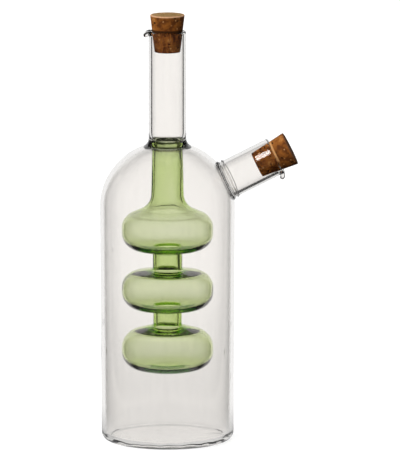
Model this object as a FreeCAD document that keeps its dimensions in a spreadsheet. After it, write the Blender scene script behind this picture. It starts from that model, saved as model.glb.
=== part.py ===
"""An oil and vinegar cruet: a clear bottle for oil, with a green flask for vinegar sealed inside it."""
import FreeCAD, Part
import math
import os
import Sketcher

os.makedirs("parts", exist_ok=True)
doc = FreeCAD.newDocument("Cruet")

# Driving sizes, in millimetres and degrees. A radius is an outside one unless it says bore.
SIZES = {
    # clear bottle
    "body_radius": 40.5,
    "base_radius": 39.7,
    "body_wall": 2.3,
    "shoulder_height": 141.8,
    "dome_rise": 39.3,
    "shoulder_share": 1.08,
    "base_thickness": 2.5,
    "heel_radius": 5.0,
    "inner_heel_radius": 3.6,
    "seal_round": 3.0,
    # upright neck
    "neck_radius": 11.3,
    "neck_bore": 9.2,
    "neck_length": 67.0,
    "neck_weld_height": 2.5,
    "neck_weld_arc": 6.1,
    # side spout
    "spout_radius": 11.5,
    "spout_bore": 9.2,
    "spout_length": 31.6,
    "spout_angle": 26.8,
    "spout_drop": 2.0,
    "spout_weld_height": 2.2,
    "spout_weld_arc": 12.0,
    "spout_hole_round": 1.1,
    # pouring lips
    "lip_wall": 1.2,
    "lip_drop": 2.5,
    "lip_bend": 1.2,
    "lip_turn": 150.0,
    "lip_half_angle": 25.0,
    "lip_reach": 1.6,
    "lip_edge": 0.45,
    # green flask
    "mouth_stand": 0.5,
    "stem_straight": 0.6,
    "flask_wall": 1.4,
    "stem_length": 32.1,
    "stem_foot_radius": 9.8,
    "stem_flare": 10.0,
    "bulb_radius": 27.5,
    "top_shoulder_arc": 9.3,
    "top_shoulder_slope": 24.0,
    "top_band": 3.0,
    "top_belly_arc": 10.5,
    "top_belly_slope": 10.0,
    "middle_shoulder_arc": 9.5,
    "middle_shoulder_slope": 9.0,
    "middle_band": 2.4,
    "middle_belly_arc": 10.8,
    "middle_belly_slope": 8.5,
    "bottom_shoulder_arc": 11.0,
    "bottom_shoulder_slope": 15.0,
    "bottom_band": 2.55,
    "bottom_belly_arc": 10.7,
    "flask_bottom_arc": 67.0,
    "waist_round": 1.2,
    "upper_waist_radius": 8.9,
    "upper_waist_length": 8.1,
    "lower_waist_radius": 8.6,
    "lower_waist_length": 6.5,
    # cork stoppers
    "cork_radius": 10.4,
    "cork_length": 22.4,
    "cork_depth": 12.5,
    "cork_clearance": 0.1,
    "cork_edge": 0.5,
}

sheet = doc.addObject("Spreadsheet::Sheet", "Sizes")
for row, (alias, number) in enumerate(SIZES.items(), start=1):
    sheet.set(f"A{row}", alias)
    sheet.set(f"B{row}", str(number))
    sheet.setAlias(f"B{row}", alias)
doc.recompute()

# The places on a line or an arc that a sketch can hold.
START, END, CENTRE = range(1, 4)
Y, Z = FreeCAD.Vector(0, 1, 0), FreeCAD.Vector(0, 0, 1)
CROWN = "(Sizes.shoulder_height + Sizes.dome_rise)"

# How far a tube's section goes down into the dome, as a share of what its weld arc allows.
FOOT_SHARE = 0.9

# The dome in section is nearly a quarter circle. It is two arcs that meet smoothly: one from the wall
# round the shoulder, and one over the crown with its centre on the bottle's axis. As far as the dome
# is flatter than a half sphere, the shoulder's arc is the smaller one and the crown's the larger one.
FLATTER = "(Sizes.body_radius - Sizes.dome_rise)"
SHOULDER_ARC = f"(Sizes.dome_rise - Sizes.shoulder_share * {FLATTER})"
CROWN_ARC = f"(Sizes.body_radius + {FLATTER} / (2 * Sizes.shoulder_share))"
SHOULDER_IN = f"(Sizes.body_radius - {SHOULDER_ARC})"

# Height at which the seal round the flask's stem ends, inside the bottle.
SEAL_FOOT = (f"({CROWN} - {CROWN_ARC} - Sizes.seal_round"
             f" + sqrt(({CROWN_ARC} - Sizes.body_wall)^2 - (Sizes.neck_bore + Sizes.seal_round)^2))")

# The spout's axis crosses the bottle's axis a little below the shoulder. SPOUT_FOOT is the distance
# along it from there to the outside of the shoulder.
SPOUT_HEIGHT = "(Sizes.shoulder_height - Sizes.spout_drop)"
ALONG = f"({SHOULDER_IN} * cos(Sizes.spout_angle) + Sizes.spout_drop * sin(Sizes.spout_angle))"
ASIDE = f"({SHOULDER_IN} * sin(Sizes.spout_angle) - Sizes.spout_drop * cos(Sizes.spout_angle))"
SPOUT_FOOT = f"({ALONG} + sqrt({SHOULDER_ARC}^2 - {ASIDE}^2))"


def at(radius, height):
    """A point of a sketch: distance from its upright axis, and height."""
    return FreeCAD.Vector(radius, height, 0)


def around(centre, radius, degrees):
    """The point of a circle at an angle counted from the sketch's level axis."""
    return centre + at(math.cos(math.radians(degrees)), math.sin(math.radians(degrees))) * radius


class Outline:
    """A sketch on one of its body's own planes, drawn to size and then tied to the sheet."""

    def __init__(self, body, name, plane="XZ_Plane"):
        self.sketch = body.newObject("Sketcher::SketchObject", name)
        origin_plane = [item for item in body.Origin.OriginFeatures if item.Role == plane][0]
        self.sketch.AttachmentSupport = [(origin_plane, "")]
        self.sketch.MapMode = "FlatFace"

    def line(self, start, end, construction=False):
        return self.sketch.addGeometry(Part.LineSegment(start, end), construction)

    def arc(self, centre, radius, start_degrees, end_degrees):
        circle = Part.Circle(centre, Z, radius)
        angles = math.radians(start_degrees), math.radians(end_degrees)
        return self.sketch.addGeometry(Part.ArcOfCircle(circle, *angles), False)

    def point(self, geometry, position):
        return self.sketch.getPoint(geometry, position)

    def rule(self, *words):
        return self.sketch.addConstraint(Sketcher.Constraint(*words))

    def join(self, first, first_end, second, second_end):
        self.rule("Coincident", first, first_end, second, second_end)

    def blend(self, first, first_end, second, second_end):
        self.rule("Tangent", first, first_end, second, second_end)

    def upright(self, *lines):
        for line in lines:
            self.rule("Vertical", line)

    def level(self, *lines):
        for line in lines:
            self.rule("Horizontal", line)

    def on_axis(self, geometry, position):
        self.rule("PointOnObject", geometry, position, -2)

    def tie(self, index, expression):
        self.sketch.setExpression(f"Constraints[{index}]", expression)

    def set_radius(self, arc, expression):
        self.tie(self.rule("Radius", arc, self.sketch.Geometry[arc].Radius), expression)

    def set_x(self, geometry, position, expression):
        value = self.point(geometry, position).x
        self.tie(self.rule("DistanceX", -1, START, geometry, position, value), expression)

    def set_y(self, geometry, position, expression):
        value = self.point(geometry, position).y
        self.tie(self.rule("DistanceY", -1, START, geometry, position, value), expression)

    def set_rise(self, low, low_position, high, high_position, expression):
        value = self.point(high, high_position).y - self.point(low, low_position).y
        self.tie(self.rule("DistanceY", low, low_position, high, high_position, value), expression)

    def close_on_axis(self, low, low_position, high, high_position):
        """Closes an outline along its axis, from its highest point down to its lowest."""
        core = self.line(self.point(high, high_position), self.point(low, low_position))
        self.join(high, high_position, core, START)
        self.join(core, END, low, low_position)
        self.on_axis(core, START)
        self.on_axis(core, END)


# How far a feature turns: a whole ring, or half of one.
RING, HALF_RING = "360 deg", "180 deg"


def turned(body, kind, name, outline, axis="V_Axis", turn=RING):
    """Turns an outline about an axis of its sketch, as a Revolution or a Groove."""
    feature = body.newObject(f"PartDesign::{kind}", name)
    feature.Profile = outline.sketch
    feature.ReferenceAxis = (outline.sketch, [axis])
    feature.setExpression("Angle", turn)
    body.Tip = feature
    return feature


def names_of(kind, parts, shape):
    """The names that a shape gives to some of its own faces or edges."""
    every = shape.Faces if kind == "Face" else shape.Edges
    return [f"{kind}{number}" for number, item in enumerate(every, start=1)
            if any(item.isSame(part) for part in parts)]


def piece(label):
    """A new sub-part: one body, which carries the name of its node."""
    body = doc.addObject("PartDesign::Body", label)
    body.Label = label
    return body


# The clear bottle: a blown body with a flat base, a rounded heel and a smooth dome. The neck and the
# spout are flame-welded over two holes in the dome.
def bottle_outline(body, name, inside, plane="YZ_Plane"):
    """Half the section of the bottle, up to the dome: its outside, or its inside a wall further in."""
    outline = Outline(body, name, plane)
    inset = SIZES["body_wall"] if inside else 0.0
    less = " - Sizes.body_wall" if inside else ""
    heel = "inner_heel_radius" if inside else "heel_radius"
    floor = SIZES["base_thickness"] if inside else 0.0
    floor_rule = "Sizes.base_thickness" if inside else "0 mm"

    heel_radius = SIZES[heel]
    heel_centre = at(SIZES["base_radius"] - inset - heel_radius, floor + heel_radius)
    share = SIZES["shoulder_share"]
    flatter = SIZES["body_radius"] - SIZES["dome_rise"]
    shoulder_arc = SIZES["dome_rise"] - share * flatter
    crown_arc = SIZES["body_radius"] + flatter / (2 * share)
    shoulder_centre = at(SIZES["body_radius"] - shoulder_arc, SIZES["shoulder_height"])
    crown_centre = at(0, SIZES["shoulder_height"] + SIZES["dome_rise"] - crown_arc)
    crown_start = math.degrees(math.atan2(2 * share + 1, 2 * share * (share + 1)))
    stem_room = SIZES["neck_bore"] + SIZES["seal_round"] if inside else 0.0
    crown_end = math.degrees(math.acos(stem_room / (crown_arc - inset)))

    base = outline.line(at(0, floor), at(heel_centre.x, floor))
    corner = outline.arc(heel_centre, heel_radius, -90, 0)
    shoulder_foot = around(shoulder_centre, shoulder_arc - inset, 0)
    wall = outline.line(around(heel_centre, heel_radius, 0), shoulder_foot)
    shoulder = outline.arc(shoulder_centre, shoulder_arc - inset, 0, crown_start)
    crown = outline.arc(crown_centre, crown_arc - inset, crown_start, crown_end)

    outline.level(base)
    outline.set_y(base, START, floor_rule)
    outline.blend(base, END, corner, START)
    outline.blend(corner, END, wall, START)
    outline.blend(wall, END, shoulder, START)
    outline.blend(shoulder, END, crown, START)
    outline.set_radius(corner, f"Sizes.{heel}")
    outline.set_x(corner, CENTRE, f"Sizes.base_radius{less} - Sizes.{heel}")
    outline.set_radius(shoulder, f"{SHOULDER_ARC}{less}")
    outline.set_x(shoulder, CENTRE, SHOULDER_IN)
    outline.set_y(shoulder, CENTRE, "Sizes.shoulder_height")
    outline.set_radius(crown, f"{CROWN_ARC}{less}")
    outline.on_axis(crown, CENTRE)
    return outline, base, crown


def full_bottle_outline(body, name, plane="YZ_Plane"):
    """The bottle's outside, closed along its axis."""
    outline, base, crown = bottle_outline(body, name, False, plane)
    outline.close_on_axis(base, START, crown, END)
    return outline


def chamber_outline(body, name):
    """The space inside the bottle, with the hole for the flask's stem drawn down into a seal round it."""
    outline, base, crown = bottle_outline(body, name, True)
    round_radius = SIZES["seal_round"]
    round_centre = outline.point(crown, END) - at(0, round_radius)
    hole_top = SIZES["shoulder_height"] + SIZES["dome_rise"] + round_radius
    seal = outline.arc(round_centre, round_radius, 90, 180)
    hole = outline.line(around(round_centre, round_radius, 180), at(SIZES["neck_bore"], hole_top))
    cover = outline.line(outline.point(hole, END), at(0, hole_top))
    outline.join(crown, END, seal, START)
    outline.blend(seal, END, hole, START)
    outline.join(hole, END, cover, START)
    outline.upright(hole)
    outline.level(cover)
    outline.set_radius(seal, "Sizes.seal_round")
    outline.set_x(seal, CENTRE, "Sizes.neck_bore + Sizes.seal_round")
    outline.rule("Vertical", seal, CENTRE, seal, START)
    outline.set_y(cover, START, f"{CROWN} + Sizes.seal_round")
    outline.close_on_axis(base, START, cover, END)
    return outline


def outer_bottle():
    body = piece("outer_bottle")
    turned(body, "Revolution", "bottle_blank", full_bottle_outline(body, "bottle_section"))
    turned(body, "Groove", "oil_chamber", chamber_outline(body, "chamber_section"))

    hole_outline = Outline(body, "spout_hole_circle", "XY_Plane")
    circle = Part.Circle(at(0, 0), Z, SIZES["spout_bore"])
    hole_circle = hole_outline.sketch.addGeometry(circle, False)
    hole_outline.join(hole_circle, CENTRE, -1, START)
    hole_outline.set_radius(hole_circle, "Sizes.spout_bore")
    tilt = FreeCAD.Rotation(Y, 90 - SIZES["spout_angle"])
    hole_outline.sketch.AttachmentOffset = FreeCAD.Placement(FreeCAD.Vector(), tilt)
    hole_outline.sketch.setExpression("AttachmentOffset.Base.z", SPOUT_HEIGHT)
    hole_outline.sketch.setExpression("AttachmentOffset.Rotation.Angle", "90 - Sizes.spout_angle")
    hole = body.newObject("PartDesign::Pocket", "spout_hole")
    hole.Profile = hole_outline.sketch
    hole.Type = "Length"
    hole.setExpression("Length", f"{SPOUT_FOOT} + Sizes.spout_length")
    hole.Reversed = True
    body.Tip = hole
    doc.recompute()

    flare = body.newObject("PartDesign::Fillet", "spout_hole_flare")
    flare.Base = (hole, inner_rim(hole.Shape))
    flare.setExpression("Radius", "Sizes.spout_hole_round")
    body.Tip = flare


def inner_rim(shape):
    """The edges of the spout's hole where it opens into the bottle: the nearer of the hole's two rims."""
    tilt = math.radians(SIZES["spout_angle"])
    axis = FreeCAD.Vector(math.cos(tilt), 0, math.sin(tilt))
    start = Z * (SIZES["shoulder_height"] - SIZES["spout_drop"])

    def reach(spot):
        return (spot - start).dot(axis)

    def on_hole(edge):
        if edge.Degenerated or edge.Curve.TypeId == "Part::GeomLine":
            return False
        offsets = [(spot - start - axis * reach(spot)).Length for spot in edge.discretize(9)]
        return max(abs(offset - SIZES["spout_bore"]) for offset in offsets) < 0.01

    rims = Part.sortEdges([edge for edge in shape.Edges if on_hole(edge)])
    nearer = min(rims, key=lambda rim: reach(rim[0].firstVertex().Point))
    return names_of("Edge", nearer, shape)


# The neck and the spout: two lengths of thin tube. Each has a flared foot welded to the dome, a
# fire-polished rim and a small lip bent outwards for pouring. Height 0 is where the tube's own axis
# leaves the dome, and the lip is on the side of the body's own +X.
def tube_section(body, tube):
    """The wall of a tube in section. Its foot reaches down into the dome, which then trims it."""
    outline = Outline(body, f"{tube}_section")
    radius, bore, length = SIZES[f"{tube}_radius"], SIZES[f"{tube}_bore"], SIZES[f"{tube}_length"]
    weld_height, weld_arc = SIZES[f"{tube}_weld_height"], SIZES[f"{tube}_weld_arc"]
    foot = (weld_height - weld_arc) * FOOT_SHARE
    half_wall = (radius - bore) / 2
    rim_centre = at(bore + half_wall, length - half_wall)
    weld_centre = at(radius + weld_arc, weld_height)
    weld_turn = math.degrees(math.asin((weld_height - foot) / weld_arc))

    inside = outline.line(at(bore, foot), at(bore, rim_centre.y))
    rim = outline.arc(rim_centre, half_wall, 0, 180)
    outside = outline.line(at(radius, rim_centre.y), at(radius, weld_height))
    weld = outline.arc(weld_centre, weld_arc, 180, 180 + weld_turn)
    under = outline.line(outline.point(weld, END), at(bore, foot))
    outline.blend(inside, END, rim, END)
    outline.blend(rim, START, outside, START)
    outline.blend(outside, END, weld, START)
    outline.join(weld, END, under, START)
    outline.join(under, END, inside, START)
    outline.upright(inside, outside)
    outline.level(under)
    outline.set_x(inside, START, f"Sizes.{tube}_bore")
    outline.set_x(outside, START, f"Sizes.{tube}_radius")
    outline.set_y(rim, CENTRE, f"Sizes.{tube}_length - (Sizes.{tube}_radius - Sizes.{tube}_bore) / 2")
    outline.set_y(weld, CENTRE, f"Sizes.{tube}_weld_height")
    outline.set_radius(weld, f"Sizes.{tube}_weld_arc")
    outline.set_y(under, END, f"(Sizes.{tube}_weld_height - Sizes.{tube}_weld_arc) * {FOOT_SHARE}")
    return outline


def lip_outline(body, name, tube):
    """A sketch at the foot of the lip, with the level line that the lip bends over as its first line."""
    outline = Outline(body, name, "XY_Plane")
    outline.sketch.setExpression("AttachmentOffset.Base.z", f"Sizes.{tube}_length - Sizes.lip_drop")
    bend_x = SIZES[f"{tube}_bore"] + SIZES["lip_wall"] / 2 + SIZES["lip_bend"]
    bend_rule = f"Sizes.{tube}_bore + Sizes.lip_wall / 2 + Sizes.lip_bend"
    bend = outline.line(at(bend_x, -bend_x), at(bend_x, bend_x), construction=True)
    outline.set_x(bend, START, bend_rule)
    outline.rule("Symmetric", bend, START, bend, END, -1)
    outline.set_y(bend, END, bend_rule)
    return outline


def sector_arc(outline, tube, outer=False):
    """An arc about the tube's axis, as wide as the lip: on the tube's bore, or a lip's wall outside it."""
    half_angle = SIZES["lip_half_angle"]
    radius = SIZES[f"{tube}_bore"] + (SIZES["lip_wall"] if outer else 0.0)
    radius_rule = f"Sizes.{tube}_bore" + (" + Sizes.lip_wall" if outer else "")
    arc = outline.arc(at(0, 0), radius, -half_angle, half_angle)
    outline.join(arc, CENTRE, -1, START)
    outline.set_radius(arc, radius_rule)
    outline.set_y(arc, START, f"-({radius_rule}) * sin(Sizes.lip_half_angle)")
    outline.set_y(arc, END, f"({radius_rule}) * sin(Sizes.lip_half_angle)")
    return arc


def lip_end(shape):
    """The flat end of the lip: the flat face that stands furthest out from the tube."""
    flat = [face for face in shape.Faces if face.Surface.TypeId == "Part::GeomPlane"]
    return max(flat, key=lambda face: face.CenterOfMass.x)


def add_lip(body, tube):
    """Bends a thinned sector of the tube's wall outwards over the rim, then clears the way for the oil."""
    wall = lip_outline(body, f"{tube}_lip_section", tube)
    inner = sector_arc(wall, tube)
    outer = sector_arc(wall, tube, outer=True)
    for end in (START, END):
        side = wall.line(wall.point(inner, end), wall.point(outer, end))
        wall.join(inner, end, side, START)
        wall.join(side, END, outer, end)
    bent = turned(body, "Revolution", f"{tube}_lip", wall, axis="Axis0", turn="Sizes.lip_turn")
    doc.recompute()

    tip = body.newObject("PartDesign::Pad", f"{tube}_lip_tip")
    tip.Profile = (bent, names_of("Face", [lip_end(bent.Shape)], bent.Shape))
    tip.setExpression("Length", "Sizes.lip_reach")
    body.Tip = tip
    doc.recompute()

    rounding = body.newObject("PartDesign::Fillet", f"{tube}_lip_edge")
    rounding.Base = (tip, names_of("Edge", lip_end(tip.Shape).Edges, tip.Shape))
    rounding.setExpression("Radius", "Sizes.lip_edge")
    body.Tip = rounding

    way = lip_outline(body, f"{tube}_way_section", tube)
    edge = sector_arc(way, tube)
    low, high = way.point(edge, START), way.point(edge, END)
    back_x = SIZES[f"{tube}_bore"] - 2 * SIZES["lip_drop"]
    floor = way.line(low, at(back_x, low.y))
    back = way.line(at(back_x, low.y), at(back_x, high.y))
    roof = way.line(at(back_x, high.y), high)
    way.join(edge, START, floor, START)
    way.join(floor, END, back, START)
    way.join(back, END, roof, START)
    way.join(roof, END, edge, END)
    way.level(floor, roof)
    way.upright(back)
    way.set_x(back, START, f"Sizes.{tube}_bore - 2 * Sizes.lip_drop")
    turned(body, "Groove", f"{tube}_way", way, axis="Axis0", turn=HALF_RING)


def glass_tube(label, tube, across, down, lean):
    """A tube with its lip, trimmed to the dome: the bottle stands at across and down, leaning over."""
    body = piece(label)
    turned(body, "Revolution", f"{tube}_blank", tube_section(body, tube))
    add_lip(body, tube)
    bottle = full_bottle_outline(body, f"{tube}_bottle_outline", "XZ_Plane")
    bottle.sketch.AttachmentOffset = FreeCAD.Placement(FreeCAD.Vector(), FreeCAD.Rotation(Z, 1))
    bottle.sketch.setExpression("AttachmentOffset.Base.x", across)
    bottle.sketch.setExpression("AttachmentOffset.Base.y", down)
    bottle.sketch.setExpression("AttachmentOffset.Rotation.Angle", lean)
    turned(body, "Groove", f"{tube}_foot", bottle)
    return body


def neck_tube():
    body = glass_tube("neck_tube", "neck", "0", f"-{CROWN}", "0")
    body.Placement.Rotation = FreeCAD.Rotation(Z, 180)
    body.setExpression("Placement.Base.z", CROWN)


def side_spout():
    lean = "90 - Sizes.spout_angle"
    across = f"{SPOUT_HEIGHT} * cos(Sizes.spout_angle)"
    down = f"-{SPOUT_HEIGHT} * sin(Sizes.spout_angle) - {SPOUT_FOOT}"
    body = glass_tube("side_spout", "spout", across, down, lean)
    stand_on_spout(body, SPOUT_FOOT)


def stand_on_spout(body, reach):
    """Turns a body's own height to the spout's axis and puts its base at a distance along that axis."""
    body.Placement.Rotation = FreeCAD.Rotation(Y, 90 - SIZES["spout_angle"])
    body.setExpression("Placement.Rotation.Angle", "90 - Sizes.spout_angle")
    body.setExpression("Placement.Base.x", f"({reach}) * cos(Sizes.spout_angle)")
    body.setExpression("Placement.Base.z", f"{SPOUT_HEIGHT} + ({reach}) * sin(Sizes.spout_angle)")


# The green flask: blown as one piece, with a long stem and three flattened bulbs one under another.
# Its stem passes through the hole in the dome and is fused into the foot of the neck.
BULBS = ("top", "middle", "bottom")
WAISTS = ("upper", "lower")


def flask_outline(body, name, inside):
    """Half the section of the flask, from its mouth down to its base, which is where the centres lie."""
    outline = Outline(body, name)
    wall = SIZES["flask_wall"] if inside else 0.0
    less = " - Sizes.flask_wall" if inside else ""
    more = " + Sizes.flask_wall" if inside else ""
    mouth_height = SIZES["shoulder_height"] + SIZES["dome_rise"] + SIZES["mouth_stand"]
    mouth_rule = f"{CROWN} + Sizes.mouth_stand"
    mouth_radius = SIZES["neck_bore"] - wall
    land_height = sheet.evalExpression(f"{SEAL_FOOT} - Sizes.stem_straight")

    mouth = outline.line(at(0, mouth_height), at(mouth_radius, mouth_height))
    land = outline.line(at(mouth_radius, mouth_height), at(mouth_radius, land_height))
    outline.join(mouth, END, land, START)
    outline.level(mouth)
    outline.upright(land)
    outline.set_x(land, START, f"Sizes.neck_bore{less}")
    outline.set_y(land, START, mouth_rule)
    outline.set_y(land, END, f"{SEAL_FOOT} - Sizes.stem_straight")

    # Each hollow round, where the glass draws in, is followed by a bulb: slope, arc, band, arc, slope.
    hollow_radius = SIZES["stem_flare"]
    hollow_centre = at(SIZES["stem_foot_radius"] + hollow_radius, mouth_height - SIZES["stem_length"])
    stem_end = around(hollow_centre, hollow_radius + wall, 180)
    upright_line = outline.line(at(mouth_radius, land_height), stem_end)
    outline.join(land, END, upright_line, START)
    hollow_x_rule = "Sizes.stem_foot_radius + Sizes.stem_flare"
    hollow_radius_rule = f"Sizes.stem_flare{more}"

    for bulb, waist in zip(BULBS, WAISTS + (None,)):
        slope = SIZES[f"{bulb}_shoulder_slope"]
        hollow = outline.arc(hollow_centre, hollow_radius + wall, 180, 270 - slope)
        outline.blend(upright_line, END, hollow, START)
        outline.set_radius(hollow, hollow_radius_rule)
        outline.set_x(hollow, CENTRE, hollow_x_rule)
        if bulb == BULBS[0]:
            outline.set_y(hollow, CENTRE, f"{mouth_rule} - Sizes.stem_length")
        else:
            outline.set_rise(hollow, CENTRE, round_above, CENTRE, f"Sizes.{waist_above}_waist_length")

        shoulder_radius = SIZES[f"{bulb}_shoulder_arc"]
        shoulder_x = SIZES["bulb_radius"] - shoulder_radius
        drop = slope_drop(hollow_radius + shoulder_radius, hollow_centre.x - shoulder_x, slope)
        shoulder_centre = at(shoulder_x, hollow_centre.y - drop)
        shoulder = outline.arc(shoulder_centre, shoulder_radius - wall, 0, 90 - slope)
        slope_line = outline.line(outline.point(hollow, END), outline.point(shoulder, END))
        outline.blend(hollow, END, slope_line, START)
        outline.blend(slope_line, END, shoulder, END)
        slope_angle = outline.rule("Angle", slope_line, math.radians(-slope))
        outline.tie(slope_angle, f"-Sizes.{bulb}_shoulder_slope")
        outline.set_radius(shoulder, f"Sizes.{bulb}_shoulder_arc{less}")
        outline.set_x(shoulder, CENTRE, f"Sizes.bulb_radius - Sizes.{bulb}_shoulder_arc")

        belly_radius = SIZES[f"{bulb}_belly_arc"]
        belly_centre = at(SIZES["bulb_radius"] - belly_radius, shoulder_centre.y - SIZES[f"{bulb}_band"])
        if waist:
            under = SIZES[f"{bulb}_belly_slope"]
        else:
            base_radius = SIZES["flask_bottom_arc"]
            under = math.degrees(math.asin(belly_centre.x / (base_radius - belly_radius)))
        belly = outline.arc(belly_centre, belly_radius - wall, under - 90, 0)
        band = outline.line(outline.point(shoulder, START), outline.point(belly, END))
        outline.blend(shoulder, START, band, START)
        outline.blend(band, END, belly, END)
        outline.set_radius(belly, f"Sizes.{bulb}_belly_arc{less}")
        outline.set_x(belly, CENTRE, f"Sizes.bulb_radius - Sizes.{bulb}_belly_arc")
        outline.set_rise(belly, CENTRE, shoulder, CENTRE, f"Sizes.{bulb}_band")

        if waist:
            round_radius = SIZES["waist_round"]
            round_x = SIZES[f"{waist}_waist_radius"] + round_radius
            drop = slope_drop(belly_radius + round_radius, round_x - belly_centre.x, under)
            round_centre = at(round_x, belly_centre.y - drop)
            round_above = outline.arc(round_centre, round_radius + wall, 90 + under, 180)
            under_line = outline.line(outline.point(belly, START), outline.point(round_above, START))
            outline.blend(belly, START, under_line, START)
            outline.blend(under_line, END, round_above, START)
            under_angle = outline.rule("Angle", under_line, math.radians(180 + under))
            outline.tie(under_angle, f"180 + Sizes.{bulb}_belly_slope")
            outline.set_radius(round_above, f"Sizes.waist_round{more}")
            outline.set_x(round_above, CENTRE, f"Sizes.{waist}_waist_radius + Sizes.waist_round")

            hollow_radius = round_radius
            hollow_centre = round_centre - at(0, SIZES[f"{waist}_waist_length"])
            hollow_x_rule = f"Sizes.{waist}_waist_radius + Sizes.waist_round"
            hollow_radius_rule = f"Sizes.waist_round{more}"
            waist_above = waist
            waist_foot = around(hollow_centre, hollow_radius + wall, 180)
            upright_line = outline.line(outline.point(round_above, END), waist_foot)
            outline.blend(round_above, END, upright_line, START)

    base_height = math.sqrt((base_radius - belly_radius) ** 2 - belly_centre.x ** 2)
    base_centre = at(0, belly_centre.y + base_height)
    base = outline.arc(base_centre, base_radius - wall, 270, 270 + under)
    outline.blend(belly, START, base, END)
    outline.on_axis(base, CENTRE)
    outline.set_radius(base, f"Sizes.flask_bottom_arc{less}")
    outline.close_on_axis(base, START, mouth, START)
    return outline


def slope_drop(reach, run, slope):
    """How far one arc's centre lies below the other's, when a line at a slope touches both."""
    angle = math.radians(slope)
    return (reach - run * math.sin(angle)) / math.cos(angle)


def inner_flask():
    body = piece("inner_flask")
    turned(body, "Revolution", "flask_blank", flask_outline(body, "flask_section", False))
    turned(body, "Groove", "vinegar_chamber", flask_outline(body, "vinegar_section", True))


# The stoppers: two tapered corks, pushed in until they wedge just under the rim.
def cork(label, tube):
    """A cork that is as wide as its tube's bore, less a clearance, where the rim starts to round off."""
    body = piece(label)
    outline = Outline(body, f"{tube}_cork_section")
    length, radius = SIZES["cork_length"], SIZES["cork_radius"]
    seat = f"(Sizes.{tube}_bore - Sizes.cork_clearance)"
    inserted = f"(Sizes.cork_depth - (Sizes.{tube}_radius - Sizes.{tube}_bore) / 2)"
    foot_rule = f"{seat} - (Sizes.cork_radius - {seat}) * {inserted} / (Sizes.cork_length - {inserted})"
    foot_radius = sheet.evalExpression(foot_rule)
    foot = outline.line(at(0, 0), at(foot_radius, 0))
    side = outline.line(at(foot_radius, 0), at(radius, length))
    top = outline.line(at(radius, length), at(0, length))
    outline.join(foot, END, side, START)
    outline.join(side, END, top, START)
    outline.level(foot, top)
    outline.set_y(foot, START, "0 mm")
    outline.set_x(side, START, foot_rule)
    outline.set_x(side, END, "Sizes.cork_radius")
    outline.set_y(side, END, "Sizes.cork_length")
    outline.close_on_axis(foot, START, top, END)
    blank = turned(body, "Revolution", f"{tube}_cork_blank", outline)
    doc.recompute()
    ends = [edge for edge in blank.Shape.Edges if edge.isClosed() and not edge.Degenerated]
    rounding = body.newObject("PartDesign::Fillet", f"{tube}_cork_edges")
    rounding.Base = (blank, names_of("Edge", ends, blank.Shape))
    rounding.setExpression("Radius", "Sizes.cork_edge")
    body.Tip = rounding
    return body


def neck_stopper():
    body = cork("neck_stopper", "neck")
    body.setExpression("Placement.Base.z", f"{CROWN} + Sizes.neck_length - Sizes.cork_depth")


def spout_stopper():
    body = cork("spout_stopper", "spout")
    stand_on_spout(body, f"{SPOUT_FOOT} + Sizes.spout_length - Sizes.cork_depth")


for make in (outer_bottle, neck_tube, side_spout, inner_flask, neck_stopper, spout_stopper):
    make()
doc.recompute()

for item in doc.Objects:
    if "Invalid" in item.State or "Error" in item.State:
        raise RuntimeError(f"{item.Name} failed: {item.getStatusString()}")
bodies = [item for item in doc.Objects if item.TypeId == "PartDesign::Body"]
for body in bodies:
    if body.Shape.isNull() or not body.Shape.isValid() or len(body.Shape.Solids) != 1:
        raise RuntimeError(f"{body.Label} isn't one valid solid")
for body in bodies:
    body.Shape.exportStep(f"parts/{body.Label}.step")
    print(body.Label, round(body.Shape.Volume / 1000, 2), "cm3")
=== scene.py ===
import math

import bmesh
import bpy
from mathutils import Matrix, Vector, noise


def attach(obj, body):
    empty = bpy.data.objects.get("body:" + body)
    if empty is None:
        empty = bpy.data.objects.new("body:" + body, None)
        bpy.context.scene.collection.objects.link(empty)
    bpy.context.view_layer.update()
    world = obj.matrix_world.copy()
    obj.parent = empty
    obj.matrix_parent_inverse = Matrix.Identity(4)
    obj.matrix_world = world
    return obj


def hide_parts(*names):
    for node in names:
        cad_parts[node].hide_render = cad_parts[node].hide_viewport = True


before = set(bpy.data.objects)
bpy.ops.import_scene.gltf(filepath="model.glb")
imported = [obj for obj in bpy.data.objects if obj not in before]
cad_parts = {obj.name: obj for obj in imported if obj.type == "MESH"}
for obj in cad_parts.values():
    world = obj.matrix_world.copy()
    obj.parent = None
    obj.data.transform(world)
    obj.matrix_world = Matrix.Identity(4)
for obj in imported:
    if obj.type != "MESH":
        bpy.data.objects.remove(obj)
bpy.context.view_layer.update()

# The clear bottle: borosilicate glass blown into a tall cylinder with a flat base, a rounded heel and a
# dome that is nearly half a sphere. The upright neck is a length of tube, flame-welded over the hole in
# the crown with a small flare. They are one piece of glass, so one closed section is turned for both.
body_radius, base_radius, wall = 0.0405, 0.0397, 0.0023
shoulder_height, dome_rise, shoulder_share = 0.1418, 0.0393, 1.08
base_thickness, heel_round, inner_heel_round = 0.0025, 0.005, 0.0036
neck_radius, bore, rim_height = 0.0113, 0.0092, 0.2481
neck_weld_height, neck_weld_round = 0.0025, 0.0061
seal_round = 0.002
crown_height = shoulder_height + dome_rise
flatter = body_radius - dome_rise
shoulder_round = dome_rise - shoulder_share * flatter
crown_round = body_radius + flatter / (2 * shoulder_share)
shoulder_in = body_radius - shoulder_round
crown_centre = (0, crown_height - crown_round)
shoulder_centre = (shoulder_in, shoulder_height)
crown_turn = math.degrees(math.atan2(shoulder_height - crown_centre[1], shoulder_in))


def arc(centre, radius, start, end, step=4):
    """Points of an arc in a section, from one angle to another in degrees, about a step apart."""
    count = max(2, round(abs(end - start) / step) + 1)
    angles = [math.radians(start + (end - start) * i / (count - 1)) for i in range(count)]
    return [(centre[0] + radius * math.cos(a), centre[1] + radius * math.sin(a)) for a in angles]


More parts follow.
